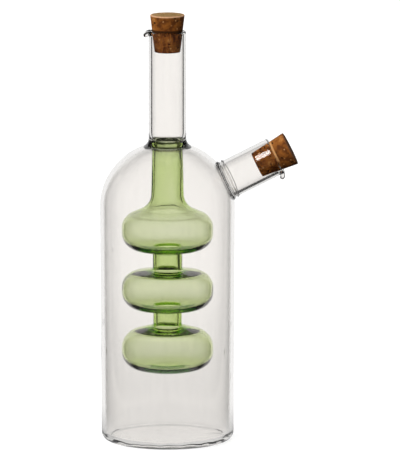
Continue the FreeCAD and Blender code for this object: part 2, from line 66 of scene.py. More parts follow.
def line(first, last, count):
    """Points of a straight line in a section, evenly apart, without its first one."""
    return [(first[0] + (last[0] - first[0]) * i / count, first[1] + (last[1] - first[1]) * i / count)
            for i in range(1, count + 1)]


def crossing(centre, radius, other_centre, other_radius):
    """Angle on the first circle, in degrees, of its left crossing with the second."""
    run, rise = other_centre[0] - centre[0], other_centre[1] - centre[1]
    apart = math.hypot(run, rise)
    spread = math.acos((apart ** 2 + radius ** 2 - other_radius ** 2) / (2 * apart * radius))
    return math.degrees(math.atan2(rise, run) - spread) % 360


def turned(name, section, place, steps, ring=False):
    """A mesh with a loop of points for each point of a section. A point on the axis is a single one."""
    verts, loops, faces = [], [], []
    for point in section:
        count = 1 if point[0] < 1e-7 else steps
        loops.append([len(verts) + i * count // steps for i in range(steps)])
        verts += [place(point, 2 * math.pi * i / steps) for i in range(count)]
    for low, high in zip(loops, loops[1:] + (loops[:1] if ring else [])):
        for i in range(steps):
            j = (i + 1) % steps
            corners = dict.fromkeys((low[i], low[j], high[j], high[i]))
            if len(corners) > 2:
                faces.append(tuple(corners))
    mesh = bpy.data.meshes.new(name)
    mesh.from_pydata(verts, [], faces)
    mesh.validate()
    mesh.shade_smooth()
    piece = bpy.data.objects.new(name, mesh)
    bpy.context.scene.collection.objects.link(piece)
    return piece


# Each tube's lip is a part of its rim, softened in the flame and drawn out and down over the edge. The
# rows of points lie close together where it bends.
lip_start, lip_length, lip_round, lip_swell = 0.0030, 0.0054, 0.0015, 0.55
lip_middle, lip_edge, lip_turn = math.radians(4), math.radians(30), math.radians(142)
lip_zone, lip_row = 0.004, 0.00015
half_wall = (neck_radius - bore) / 2
rim_side = half_wall + 0.0001


def smooth_step(value, low, high):
    """A smooth change from 0 to 1, while a value goes from low to high."""
    share = min(1, max(0, (value - low) / (high - low)))
    return share * share * (3 - 2 * share)


def lip(radius, height, aside, middle_radius, rim):
    """Where a point of a tube's wall goes when the lip is drawn out. aside is its angle from the lip."""
    near = smooth_step(lip_edge - abs(aside), 0, lip_edge - lip_middle)
    rise = height - (rim - lip_start)
    if rise <= 0 or near < 1e-3:
        return radius, height
    total = lip_start + near * (lip_length - lip_start)
    along = rise * total / lip_start
    across = (radius - middle_radius) * (1 + lip_swell * near * along / total)
    angle = min(near * lip_turn, along / lip_round)
    hang = along - lip_round * angle
    out = lip_round * (1 - math.cos(angle)) + hang * math.sin(angle) + across * math.cos(angle)
    up = lip_round * math.sin(angle) + hang * math.cos(angle) - across * math.sin(angle)
    return middle_radius + out, rim - lip_start + up


# Inside, the glass is uneven where the base turns up into the wall.
base_unevenness, uneven_bottom, uneven_top = 0.0008, base_thickness + 1e-5, 0.008
uneven_start, uneven_end = base_radius * 0.6, base_radius - wall * 0.9


def bottle_point(point, angle):
    """A point of the section turned to its place, with the neck's lip drawn out opposite the spout."""
    aside = math.remainder(angle - math.pi, 2 * math.pi)
    radius, height = lip(*point, aside, bore + half_wall, rim_height) if point[0] > 0 else point
    if uneven_start < radius < uneven_end and uneven_bottom < height < uneven_top:
        low = (uneven_top - height) / (uneven_top - base_thickness)
        uneven = noise.noise(Vector((math.cos(angle) * 5, math.sin(angle) * 5, radius * 300)))
        height += base_unevenness * low * (0.5 + 0.5 * uneven)
    return Vector((radius * math.cos(angle), radius * math.sin(angle), height))


# The neck's foot flares onto the crown in one arc. Inside, the crown turns down into a short round seal,
# which holds the mouth of the green flask.
weld_centre = (neck_radius + neck_weld_round, crown_height + neck_weld_height)
weld_foot = crossing(weld_centre, neck_weld_round, crown_centre, crown_round)
weld_end = arc(weld_centre, neck_weld_round, weld_foot, 180)[0]
weld_on_crown = math.degrees(math.atan2(weld_end[1] - crown_centre[1], weld_end[0]))
flask_mouth_height = crown_height + 0.0005
seal_overlap = 0.00005
seal_reach = bore + seal_round
seal_top = crown_centre[1] + math.sqrt((crown_round - wall) ** 2 - seal_reach ** 2)
seal_turn = math.degrees(math.acos(seal_reach / (crown_round - wall)))
inner_shoulder = shoulder_round - wall

outside = [(0, 0), (base_radius * 0.5, 0)]
outside += arc((base_radius - heel_round, heel_round), heel_round, -90, 0, 6)
outside += line((base_radius, heel_round), (body_radius, shoulder_height), 24)[:-1]
outside += arc(shoulder_centre, shoulder_round, 0, crown_turn, 3)
outside += arc(crown_centre, crown_round, crown_turn, weld_on_crown, 3)[1:]
outside += arc(weld_centre, neck_weld_round, weld_foot, 180, 6)[1:]
outside += line((neck_radius, weld_centre[1]), (neck_radius, rim_height - lip_zone), 12)
outside += line((neck_radius, rim_height - lip_zone), (neck_radius, rim_height - rim_side), 19)
rim = arc((bore + half_wall, rim_height - half_wall), half_wall, 0, 180, 20)
inside = line((bore, rim_height - rim_side), (bore, rim_height - lip_zone + lip_row), 18)
inside += line((bore, rim_height - lip_zone), (bore, flask_mouth_height + 0.0002), 12)
seal_bore, seal_bottom = bore - seal_overlap, seal_top - seal_round
inside += [(seal_bore, flask_mouth_height + 0.0001), (seal_bore, seal_bottom)]
inside += arc((seal_reach, seal_bottom), seal_round, 180, 90, 15)
inside += arc(crown_centre, crown_round - wall, seal_turn, crown_turn, 3)[1:]
inside += arc(shoulder_centre, inner_shoulder, crown_turn, 0, 3)[1:]
inner_heel = (base_radius - wall - inner_heel_round, base_thickness + inner_heel_round)
inside += line((body_radius - wall, shoulder_height), (base_radius - wall, inner_heel[1]), 24)[:-1]
inside += arc(inner_heel, inner_heel_round, 0, -90, 6)
inside += [(base_radius * 0.5, base_thickness), (0, base_thickness)]
bottle = turned("bottle_glass", outside + rim + inside, bottle_point, steps=160)

# The side spout: a shorter length of the same tube, welded over a hole in the shoulder, with a bead and
# a small ridge of glass round its foot. The foot takes the shape of the shoulder, inside and out, and its
# lip hangs from the lowest point of its rim.
spout_radius, spout_angle = 0.0115, math.radians(26.8)
spout_start = Vector((0, 0, 0.1398))
spout_way = Vector((math.cos(spout_angle), 0, math.sin(spout_angle)))
spout_up = Vector((-math.sin(spout_angle), 0, math.cos(spout_angle)))
spout_foot, spout_length = 0.041128, 0.0316
spout_rim = spout_foot + spout_length
spout_half_wall = (spout_radius - bore) / 2
hole_round, bead_round, ridge_round, ridge_height = 0.0012, 0.0011, 0.0007, 0.0029
drill_radius, foot_edge, foot_lap = 0.0112, 0.0117, 0.0006
spout_row = 0.002


def in_glass(spot, depth):
    """How far a place lies inside the bottle's own wall, counted from a depth under its outside."""
    radius = math.hypot(spot.x, spot.y)
    if spot.z < shoulder_height:
        tall = (spot.z - heel_round) / (shoulder_height - heel_round)
        return base_radius + (body_radius - base_radius) * tall - depth - radius
    if math.atan2(spot.z - shoulder_height, max(radius - shoulder_in, 1e-6)) < math.radians(crown_turn):
        return shoulder_round - depth - math.hypot(radius - shoulder_in, spot.z - shoulder_height)
    return crown_round - depth - math.hypot(radius, spot.z - crown_centre[1])


def on_spout(point, angle):
    """The place at a radius round the spout's axis and a distance along it."""
    radius, reach = point
    aside = spout_up * (radius * math.cos(angle)) + Vector((0, radius * math.sin(angle), 0))
    return spout_start + spout_way * reach + aside


def spout_reach(radius, angle, depth):
    """Distance along the spout's axis to the bottle's surface, at a depth under its outside."""
    near, far, halvings = 0.025, 0.06, 30
    for _ in range(halvings):
        middle = (near + far) / 2
        if in_glass(on_spout((radius, middle), angle), depth) > 0:
            near = middle
        else:
            far = middle
    return near


def spout_point(point, angle):
    """A section point is a radius, a height and what the height counts from: rim, or depth in the wall."""
    radius, height, base = point
    if base == "rim":
        radius, height = lip(radius, height, math.remainder(angle - math.pi, 2 * math.pi),
                             bore + spout_half_wall, 0)
        reach = spout_rim + height
    else:
        reach = spout_reach(radius, angle, base) + height
    return on_spout((radius, reach), angle)


spout_section = [(bore + hole_round + hole_round * x, hole_round + hole_round * y, wall)
                 for x, y in arc((0, 0), 1, 180, 270, 18)]
spout_section += [(foot_edge, -0.00003, wall), (foot_edge + 0.0002, foot_lap, wall),
                  (foot_edge + 0.0004, -foot_lap, 0)]
spout_section += [(spout_radius + bead_round * x, bead_round * y, 0)
                  for x, y in arc((0, 0), 1, -30, 90, 20)]
spout_section += [(spout_radius + ridge_round * x, ridge_height + ridge_round * y, 0)
                  for x, y in arc((0, 0), 1, -90, 90, 20)]
spout_rows = [(spout_radius, -lip_zone - spout_row * i) for i in reversed(range(10))]
spout_rows += [(spout_radius, 0.0002 - lip_zone + lip_row * i) for i in range(18)]
spout_rows += arc((bore + spout_half_wall, -spout_half_wall), spout_half_wall, 0, 180, 20)
spout_rows += [(bore, -0.0013 - lip_row * i) for i in range(18)]
spout_rows += [(bore, -lip_zone - spout_row * i) for i in range(10)]
spout_section += [(*point, "rim") for point in spout_rows]
spout = turned("spout_glass", spout_section, spout_point, steps=128, ring=True)

drill_section = [(0, 0.03), (drill_radius, 0.03), (drill_radius, 0.05), (0, 0.05)]
drill = turned("spout_drill", drill_section, on_spout, steps=96)
for tool, operation in ((drill, "DIFFERENCE"), (spout, "UNION")):
    cut = bottle.modifiers.new(operation.title(), "BOOLEAN")
    cut.operation, cut.solver, cut.object = operation, "EXACT", tool
shape = bottle.evaluated_get(bpy.context.evaluated_depsgraph_get())
welded = bpy.data.meshes.new_from_object(shape)
bottle.modifiers.clear()
bottle.data = welded
for tool in (drill, spout):
    bpy.data.objects.remove(tool)
bottle.data.shade_smooth()
sharp_edge = math.radians(32)
bottle.data.set_sharp_from_angle(angle=sharp_edge)

# A few seeds are left in the wall: thin bubbles, drawn out upright with the glass. Each has an angle from
# the front, a height and half a length.
seed_width, seed_radius = 0.00028, body_radius - wall * 0.45
seeds = ((-77.2, 0.0729, 0.0020), (72.6, 0.0722, 0.0020), (-66.7, 0.0566, 0.0022), (58.9, 0.0568, 0.0017),
         (72.1, 0.0406, 0.0021), (141, 0.094, 0.0016), (-118, 0.112, 0.0014))
with_seeds = bmesh.new()
with_seeds.from_mesh(bottle.data)
for turn, height, half in seeds:
    angle = math.radians(turn - 90)
    place = Vector((seed_radius * math.cos(angle), seed_radius * math.sin(angle), height))
    form = Matrix.Translation(place) @ Matrix.Diagonal((seed_width, seed_width, half, 1))
    bubble = bmesh.ops.create_icosphere(with_seeds, subdivisions=2, radius=1, matrix=form)
    faces = {face for vert in bubble["verts"] for face in vert.link_faces}
    bmesh.ops.reverse_faces(with_seeds, faces=list(faces))
    for face in faces:
        face.smooth = True
with_seeds.to_mesh(bottle.data)
with_seeds.free()


def number(tree, operation, *values):
    """A Math node. Each value is a socket or a plain number."""
    node = tree.nodes.new("ShaderNodeMath")
    node.operation = operation
    for socket, value in zip(node.inputs, values):
        if isinstance(value, (int, float)):
            socket.default_value = value
        else:
            tree.links.new(value, socket)
    return node.outputs[0]


def ramp(tree, value, low, high, start=0.0, end=1.0, change="SMOOTHSTEP"):
    """A change from start to end, while a value goes from low to high."""
    node = tree.nodes.new("ShaderNodeMapRange")
    node.interpolation_type = change
    for socket, setting in zip(("From Min", "From Max", "To Min", "To Max"), (low, high, start, end)):
        node.inputs[socket].default_value = setting
    tree.links.new(value, node.inputs["Value"])
    return node.outputs[0]


def mixed(tree, share, first, second):
    """A colour between two, by a share. Each colour is a socket or a plain one."""
    node = tree.nodes.new("ShaderNodeMix")
    node.data_type = "RGBA"
    tree.links.new(share, node.inputs["Factor"])
    for socket, colour in zip((node.inputs[6], node.inputs[7]), (first, second)):
        if isinstance(colour, tuple):
            socket.default_value = (*colour, 1)
        else:
            tree.links.new(colour, socket)
    return node.outputs[2]


def grain(tree, place, scale, detail, roughness=0.55):
    """A cloudy pattern at a place."""
    node = tree.nodes.new("ShaderNodeTexNoise")
    node.inputs["Scale"].default_value = scale
    node.inputs["Detail"].default_value = detail
    node.inputs["Roughness"].default_value = roughness
    tree.links.new(place, node.inputs["Vector"])
    return node.outputs["Fac"]


# Blown glass has faint streaks and ripples in its surface, drawn out along the bottle's axis.
ripple_depth = 0.00003
blown = bpy.data.node_groups.new("blown_glass", "ShaderNodeTree")
blown.interface.new_socket("Place", in_out="INPUT", socket_type="NodeSocketVector")
blown.interface.new_socket("Streaks", in_out="OUTPUT", socket_type="NodeSocketFloat")
blown.interface.new_socket("Ripple", in_out="OUTPUT", socket_type="NodeSocketFloat")
blown_in, blown_out = blown.nodes.new("NodeGroupInput"), blown.nodes.new("NodeGroupOutput")
for socket, stretch, scale, detail in (("Streaks", 0.12, 260, 3), ("Ripple", 0.4, 95, 2)):
    drawn = blown.nodes.new("ShaderNodeVectorMath")
    drawn.operation = "MULTIPLY"
    drawn.inputs[1].default_value = (1, 1, stretch)
    blown.links.new(blown_in.outputs["Place"], drawn.inputs[0])
    blown.links.new(grain(blown, drawn.outputs[0], scale, detail), blown_out.inputs[socket])


def glass(name, colour, streak_colour, painted_edge_shade, absorbed, density):
    """Blown glass: it lets light through, takes out colour with its depth, and has painted shade: it is
    greyer edge on.
    """
    material = bpy.data.materials.new(name)
    material.use_nodes = True
    tree = material.node_tree
    nodes, links = tree.nodes, tree.links
    surface = nodes["Principled BSDF"]
    surface.inputs["Roughness"].default_value = 0.0
    surface.inputs["IOR"].default_value = 1.47
    surface.inputs["Transmission Weight"].default_value = 1.0
    spot = nodes.new("ShaderNodeTexCoord")
    finish = nodes.new("ShaderNodeGroup")
    finish.node_tree = blown
    links.new(spot.outputs["Object"], finish.inputs["Place"])
    streaked = mixed(tree, ramp(tree, finish.outputs["Streaks"], 0.45, 0.7), colour, streak_colour)
    # Painted shade: the colour turns grey where the glass is seen edge on, for its dark edges.
    slant = nodes.new("ShaderNodeLayerWeight")
    slant.inputs["Blend"].default_value = 0.5
    edge_on = ramp(tree, slant.outputs["Facing"], 0.25, 0.9)
    links.new(mixed(tree, edge_on, streaked, painted_edge_shade), surface.inputs["Base Color"])
    bump = nodes.new("ShaderNodeBump")
    bump.inputs["Strength"].default_value = 1.0
    bump.inputs["Distance"].default_value = ripple_depth
    links.new(finish.outputs["Ripple"], bump.inputs["Height"])
    links.new(bump.outputs[0], surface.inputs["Normal"])
    depth = nodes.new("ShaderNodeVolumeAbsorption")
    depth.inputs["Color"].default_value = (*absorbed, 1)
    depth.inputs["Density"].default_value = density
    links.new(depth.outputs["Volume"], nodes["Material Output"].inputs["Volume"])
    return material


def finish_piece(piece, material, body, slot, *nodes):
    """A piece's one material, the body that it moves with, its slot, which is not used, and the nodes that
    it stands for.
    """
    piece.data.materials.clear()
    piece.data.materials.append(material)
    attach(piece, body)
    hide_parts(*nodes)


clear_glass = glass("clear_glass", colour=(0.99, 0.973, 0.953), streak_colour=(0.97, 0.953, 0.933),
                    painted_edge_shade=(0.76, 0.75, 0.74), absorbed=(0.4, 0.4, 0.36), density=12)
finish_piece(bottle, clear_glass, "glass", "clear_glass", "outer_bottle", "neck_tube", "side_spout")

# The green flask: thin coloured glass, blown into three flattened bulbs under a long stem. The stem
# passes through the hole in the crown and is fused there, with its open mouth in the foot of the neck.
# The glass is thinnest on the bulbs' bellies, and has pooled a little under each of them.
stem_length = 0.0321
thin_wall, thick_wall, wall_unevenness = 0.0004, 0.0021, 0.16
pooled, crowned, waist_extra, waist_full, waist_end = 0.0009, 0.0001, 0.0004, 0.009, 0.0115
stem_foot_radius, stem_flare, bulb_radius = 0.0098, 0.010, 0.0275
waist_round = 0.0012
bulbs = (
    {"shoulder": 0.0093, "slope": 24, "band": 0.003, "belly": 0.0105, "under": 10,
     "waist": (0.0089, 0.0081)},
    {"shoulder": 0.0095, "slope": 9, "band": 0.0024, "belly": 0.0108, "under": 8.5,
     "waist": (0.0086, 0.0065)},
    {"shoulder": 0.011, "slope": 15, "band": 0.00255, "belly": 0.0107, "bottom": 0.067},
)


def drop(reach, run, slope):
    """How far one arc's centre lies below the other's, when a line at a slope touches both."""
    angle = math.radians(slope)
    return (reach - run * math.sin(angle)) / math.cos(angle)


def flask_side():
    """The flask's outside, from its mouth down to the middle of its base."""
    mouth = flask_mouth_height - thick_wall / 2
    land = seal_bottom - 0.0006
    points = [(bore, mouth - (mouth - land) * i / 4) for i in range(5)]
    hollow, radius = (stem_foot_radius + stem_flare, flask_mouth_height - stem_length), stem_flare
    points += line((bore, land), (hollow[0] - radius, hollow[1]), 12)[:-1]
    for bulb in bulbs:
        slope = bulb["slope"]
        points += arc(hollow, radius, 180, 270 - slope)
        centre_x = bulb_radius - bulb["shoulder"]
        shoulder = (centre_x, hollow[1] - drop(radius + bulb["shoulder"], hollow[0] - centre_x, slope))
        points += arc(shoulder, bulb["shoulder"], 90 - slope, 0)
        belly = (bulb_radius - bulb["belly"], shoulder[1] - bulb["band"])
        if "bottom" in bulb:
            under = math.degrees(math.asin(belly[0] / (bulb["bottom"] - bulb["belly"])))
            points += arc(belly, bulb["belly"], 0, under - 90)
            base = (0, belly[1] + math.sqrt((bulb["bottom"] - bulb["belly"]) ** 2 - belly[0] ** 2))
            points += arc(base, bulb["bottom"], 270 + under, 270, 1.5)[1:]
            points[-1] = (0, points[-1][1])
        else:
            under = bulb["under"]
            points += arc(belly, bulb["belly"], 0, under - 90)
            waist_radius, waist_length = bulb["waist"]
            turn = (waist_radius + waist_round, 0)
            turn = (turn[0], belly[1] - drop(bulb["belly"] + waist_round, turn[0] - belly[0], under))
            points += arc(turn, waist_round, 90 + under, 180, 10)
            hollow, radius = (turn[0], turn[1] - waist_length), waist_round
    return points


def wall_at(radius, height):
    """The glass is thickest where it was drawn out least: on the stem, the base, and most at the waists."""
    waist = 0
    if height < shoulder_height:
        waist = min(1, max(0, (waist_end - radius) / (waist_end - waist_full)))
    return thin_wall + (thick_wall - thin_wall) * bore / max(radius, bore) + waist_extra * waist


def inner_side(outer):
    """The inside of the flask: each point of the outside, moved in by the wall at that place."""
    points = []
    for before, point, after in zip(outer[:1] + outer, outer, outer[1:] + outer[-1:]):
        run, rise = after[0] - before[0], after[1] - before[1]
        length = math.hypot(run, rise)
        depth = wall_at(*point) + pooled * max(0, -run / length) ** 3 + crowned * max(0, run / length) ** 3
        points.append((max(0, point[0] + rise / length * depth), point[1] - run / length * depth, depth))
    points[-1] = (0, *points[-1][1:])
    return points


def flask_point(point, angle):
    """A point of the flask's section turned to its place. Inside, the wall's thickness varies a little."""
    radius, height, depth = point
    if depth and radius:
        around = Vector((math.cos(angle) * 1.6, math.sin(angle) * 1.6, height * 60))
        radius -= depth * wall_unevenness * noise.noise(around)
    return Vector((radius * math.cos(angle), radius * math.sin(angle), height))


flask_outside = flask_side()
flask_inside = inner_side(flask_outside)
mouth_half = flask_inside[0][2] / 2
flask_section = [(*point, 0) for point in flask_outside[::-1]]
flask_mouth = arc((bore - mouth_half, flask_outside[0][1]), mouth_half, 0, 180, 20)[1:-1]
flask_section += [(*point, 0) for point in flask_mouth] + flask_inside
flask = turned("flask_glass", flask_section, flask_point, steps=160)
green_glass = glass("green_glass", colour=(0.97, 0.97, 0.96), streak_colour=(0.94, 0.945, 0.925),
                    painted_edge_shade=(0.74, 0.75, 0.63), absorbed=(0.611, 0.80, 0), density=205)
finish_piece(flask, green_glass, "glass", "green_glass", "inner_flask")

# The stoppers: tapered corks punched from bark and wedged in the neck and the spout. Their sides show
# the bark's pores as dark pits, and a painted line where the glass rim meets them: painted shade on the
# neck's cork, a painted highlight on the spout's. The neck's cork has a pale end with a paler worn edge.
cork_radius, cork_length, cork_depth, cork_edge = 0.0104, 0.0224, 0.0125, 0.0005
cork_seat = bore - 0.0001
foot_rows, side_rows, top_rows = 14, 62, 24
grain_depth, pore_depth, chip_depth, chip_zone = 0.00008, 0.00045, 0.00035, 0.0012
bark_dark, bark_mid, bark_light = (0.078, 0.022, 0.003), (0.19, 0.062, 0.009), (0.30, 0.125, 0.03)
bark_pore_and_rim_shade, bark_fleck_and_rim_highlight = (0.022, 0.007, 0.001), (0.46, 0.235, 0.09)
bark_end_dark, bark_end, bark_edge = (0.22, 0.135, 0.048), (0.29, 0.175, 0.075), (0.44, 0.25, 0.14)


def cork_wear(spot):
    """How deep a place of a cork lies under its smooth form: fine grain, and a pore here and there."""
    rough = 0.5 + 0.5 * noise.fractal(spot * 800, 1.0, 2.0, 3)
    gaps, centres = noise.voronoi(Vector((spot.x * 300, spot.y * 300, spot.z * 560)))
    wide = 0.28 + 0.14 * noise.noise(centres[0] * 5.3)
    pore = smooth_step(wide - gaps[0], 0, 0.16) if noise.noise(centres[0] * 3.1) > 0.06 else 0
    return grain_depth * rough + pore_depth * pore


def cork(name, half_wall, foot, axis_x, axis_z, seed):
    """A cork on its own foot point. Its shape only ever lies inside the smooth cork's."""
    inserted = cork_depth - half_wall
    foot_radius = cork_seat - (cork_radius - cork_seat) * inserted / (cork_length - inserted)
    slope = (cork_radius - foot_radius) / cork_length
    top_radius = cork_radius - slope * cork_edge
    low = arc((foot_radius - cork_edge, cork_edge), cork_edge, -90, 0, 22)
    high = arc((top_radius - cork_edge, cork_length - cork_edge), cork_edge, 0, 90, 18)
    section = [((foot_radius - cork_edge) * i / foot_rows, 0) for i in range(foot_rows)] + low
    section += line(low[-1], high[0], side_rows)[:-1]
    section += high
    section += [((top_radius - cork_edge) * i / top_rows, cork_length) for i in reversed(range(top_rows))]
    depths = []
    axis_y = axis_z.cross(axis_x)

    def worn(point, angle):
        """A point of the section turned to its place, and moved in where the cork is worn."""
        radius, height = point
        spot = Vector((radius * math.cos(angle), radius * math.sin(angle), height))
        side = smooth_step(radius - (foot_radius + slope * height), -cork_edge, -cork_edge * 0.2)
        top = smooth_step(height, cork_length - cork_edge, cork_length - cork_edge * 0.2)
        bottom = 1 - smooth_step(height, cork_edge * 0.2, cork_edge)
        near_top = smooth_step(height, cork_length - chip_zone, cork_length)
        chip = max(0, noise.noise(spot * 420 + seed)) * near_top
        depth = cork_wear(spot + seed) + chip_depth * chip * side
        depths.append(depth)
        radius -= depth * side
        height -= depth * (top - bottom)
        aside = axis_x * (radius * math.cos(angle)) + axis_y * (radius * math.sin(angle))
        return foot + aside + axis_z * height

    piece = turned(name, section, worn, steps=176)
    wear = piece.data.attributes.new("wear", "FLOAT", "POINT")
    wear.data.foreach_set("value", depths)
    return piece


# Bark is clouded brown with crumbs, pale flecks and dark pores. Where the glass rim meets a cork there
# is painted light: a dark line of painted shade on one cork, and a pale line of painted highlight on the
# upper side of the other.
bark = bpy.data.node_groups.new("bark", "ShaderNodeTree")
bark.interface.new_socket("Place", in_out="INPUT", socket_type="NodeSocketVector")
for socket in ("Wear", "Pale End", "Painted Rim Shade", "Painted Rim Highlight"):
    bark.interface.new_socket(socket, in_out="INPUT", socket_type="NodeSocketFloat")
bark.interface.new_socket("Color", in_out="OUTPUT", socket_type="NodeSocketColor")
bark.interface.new_socket("Height", in_out="OUTPUT", socket_type="NodeSocketFloat")
bark_in, bark_out = bark.nodes.new("NodeGroupInput"), bark.nodes.new("NodeGroupOutput")

clouds = grain(bark, bark_in.outputs["Place"], 190, 4)
crumbs = grain(bark, bark_in.outputs["Place"], 900, 3, 0.7)
side_colour = mixed(bark, ramp(bark, clouds, 0.36, 0.56), bark_dark, bark_mid)
side_colour = mixed(bark, ramp(bark, clouds, 0.55, 0.72), side_colour, bark_light)
cells = bark.nodes.new("ShaderNodeTexVoronoi")
cells.inputs["Scale"].default_value = 520
bark.links.new(bark_in.outputs["Place"], cells.inputs["Vector"])
fleck = number(bark, "MULTIPLY", ramp(bark, cells.outputs["Distance"], 0.16, 0.34, 1.0, 0.0),
               ramp(bark, grain(bark, bark_in.outputs["Place"], 330, 1), 0.52, 0.66, 0.0, 0.75))
side_colour = mixed(bark, fleck, side_colour, bark_fleck_and_rim_highlight)
cork_place = bark.nodes.new("ShaderNodeSeparateXYZ")
bark.links.new(bark_in.outputs["Place"], cork_place.inputs[0])
cork_x, cork_y, cork_height = cork_place.outputs
across = number(bark, "SQRT", number(bark, "ADD", number(bark, "POWER", cork_x, 2.0),
                                     number(bark, "POWER", cork_y, 2.0)))
end_colour = mixed(bark, ramp(bark, clouds, 0.4, 0.65), bark_end_dark, bark_end)
worn_edge = ramp(bark, across, cork_radius - 0.0013, cork_radius - 0.0008)
end_colour = mixed(bark, worn_edge, end_colour, bark_edge)
end_colour = mixed(bark, bark_in.outputs["Pale End"], bark_dark, end_colour)
at_end = ramp(bark, cork_height, cork_length - 0.0009, cork_length - 0.0005)
colour = mixed(bark, at_end, side_colour, end_colour)
colour = mixed(bark, ramp(bark, crumbs, 0.3, 0.55, 0.45, 0.0), colour, bark_dark)
colour = mixed(bark, ramp(bark, bark_in.outputs["Wear"], 0.00013, 0.0003), colour, bark_pore_and_rim_shade)
# The band where the glass rim meets a cork, which carries painted shade and a painted highlight.
grip = number(bark, "MULTIPLY", ramp(bark, cork_height, cork_depth - 0.0008, cork_depth - 0.0002),
              ramp(bark, cork_height, cork_depth + 0.0009, cork_depth + 0.0014, 1.0, 0.0))
# Painted shade: a dark line on the neck's cork at the glass rim, for the rim's dark look over it.
colour = mixed(bark, number(bark, "MULTIPLY", grip, bark_in.outputs["Painted Rim Shade"]), colour, bark_pore_and_rim_shade)
# Painted highlight: a pale line on the upper side of the spout's cork at the glass rim, for the rim's
# bright reflection.
rim_highlight_mask = number(bark, "MULTIPLY", grip, ramp(bark, cork_x, 0.0005, 0.005, 1.0, 0.1))
colour = mixed(bark, number(bark, "MULTIPLY", rim_highlight_mask, bark_in.outputs["Painted Rim Highlight"]), colour, bark_fleck_and_rim_highlight)
bark.links.new(colour, bark_out.inputs["Color"])
relief = number(bark, "ADD", crumbs, number(bark, "MULTIPLY", clouds, 0.5))
bark.links.new(relief, bark_out.inputs["Height"])


def bark_finish(name, foot, lean, pale_end, painted_rim_shade, painted_rim_highlight):
    """Bark's look for one cork, which stands on its foot point and leans over by an angle."""
    material = bpy.data.materials.new(name)
    material.use_nodes = True
    nodes, links = material.node_tree.nodes, material.node_tree.links
    surface = nodes["Principled BSDF"]
    surface.inputs["Roughness"].default_value = 0.85
    surface.inputs["Specular IOR Level"].default_value = 0.1
    spot = nodes.new("ShaderNodeTexCoord")
    stand = nodes.new("ShaderNodeMapping")
    stand.vector_type = "TEXTURE"
    stand.inputs["Location"].default_value = foot
    stand.inputs["Rotation"].default_value = (0, lean, 0)
    links.new(spot.outputs["Object"], stand.inputs["Vector"])
    wear = nodes.new("ShaderNodeAttribute")
    wear.attribute_name = "wear"
    finish = nodes.new("ShaderNodeGroup")
    finish.node_tree = bark
    finish.inputs["Pale End"].default_value = pale_end
    finish.inputs["Painted Rim Shade"].default_value = painted_rim_shade
    finish.inputs["Painted Rim Highlight"].default_value = painted_rim_highlight
    links.new(stand.outputs[0], finish.inputs["Place"])
    links.new(wear.outputs["Fac"], finish.inputs["Wear"])
    bump = nodes.new("ShaderNodeBump")
    bump.inputs["Strength"].default_value = 0.5
    bump.inputs["Distance"].default_value = 0.0004
    links.new(finish.outputs["Height"], bump.inputs["Height"])
    links.new(finish.outputs["Color"], surface.inputs["Base Color"])
    links.new(bump.outputs[0], surface.inputs["Normal"])
    return material


neck_cork_foot = Vector((0, 0, rim_height - cork_depth))
neck_cork = cork("neck_cork", half_wall, neck_cork_foot, Vector((1, 0, 0)), Vector((0, 0, 1)),
                 seed=Vector((0.4, 0.1, 0.7)))
neck_bark = bark_finish("neck_cork_bark", neck_cork_foot, lean=0, pale_end=1, painted_rim_shade=0.9, painted_rim_highlight=0)
finish_piece(neck_cork, neck_bark, "neck_cork", "cork", "neck_stopper")
spout_cork_foot = spout_start + spout_way * (spout_rim - cork_depth)
spout_cork = cork("spout_cork", spout_half_wall, spout_cork_foot, -spout_up, spout_way,
                  seed=Vector((0.9, 0.6, 0.2)))
spout_bark = bark_finish("spout_cork_bark", spout_cork_foot, lean=math.pi / 2 - spout_angle, pale_end=0.1,
                         painted_rim_shade=0, painted_rim_highlight=0.85)
finish_piece(spout_cork, spout_bark, "spout_cork", "cork", "spout_stopper")

# The studio: a white floor and a white backdrop behind the bottle, and a dark room beside and above it,
# which draws the dark lines in the glass. Soft boxes stand in front on both sides, and the camera stands
# far off in front and looks a little down.
scene = bpy.context.scene
backdrop_seen, backdrop_mirrored = (28, 38), (36, 40)
room_dark = 0.05


def seen(tree):
    """Shares of a ray: seen is 1 where the camera sees it, straight or by way of glass, mirrored is 1
    where glass mirrored it on its way, straight is 1 where it comes straight from the camera, and through
    is 1 where it has just passed through glass."""
    paths = tree.nodes.new("ShaderNodeLightPath")
    straight, through = paths.outputs["Is Camera Ray"], paths.outputs["Is Transmission Ray"]
    no_matt = number(tree, "LESS_THAN", paths.outputs["Diffuse Depth"], 0.5)
    every = number(tree, "MAXIMUM", straight, paths.outputs["Is Glossy Ray"])
    every = number(tree, "MULTIPLY", number(tree, "MAXIMUM", every, through), no_matt)
    mirrored = number(tree, "GREATER_THAN", paths.outputs["Glossy Depth"], 0.5)
    return {"seen": every, "mirrored": mirrored, "straight": straight, "through": through}


def blend(tree, share, first, second):
    """A number between two, by a share. Each is a socket or a plain number."""
    node = tree.nodes.new("ShaderNodeMix")
    for socket, value in zip(("Factor", "A", "B"), (share, first, second)):
        if isinstance(value, (int, float)):
            node.inputs[socket].default_value = value
        else:
            tree.links.new(value, node.inputs[socket])
    return node.outputs["Result"]


def either(tree, share, first, second):
    """One of two shaders, by a share."""
    node = tree.nodes.new("ShaderNodeMixShader")
    for socket, value in zip(node.inputs, (share, first, second)):
        tree.links.new(value, socket)
    return node.outputs[0]


def measured(tree, operation, way, other=None):
    """The number that a Vector Math node makes of a direction or a place."""
    node = tree.nodes.new("ShaderNodeVectorMath")
    node.operation = operation
    tree.links.new(way, node.inputs[0])
    if other:
        node.inputs[1].default_value = other
    return node.outputs["Value"]


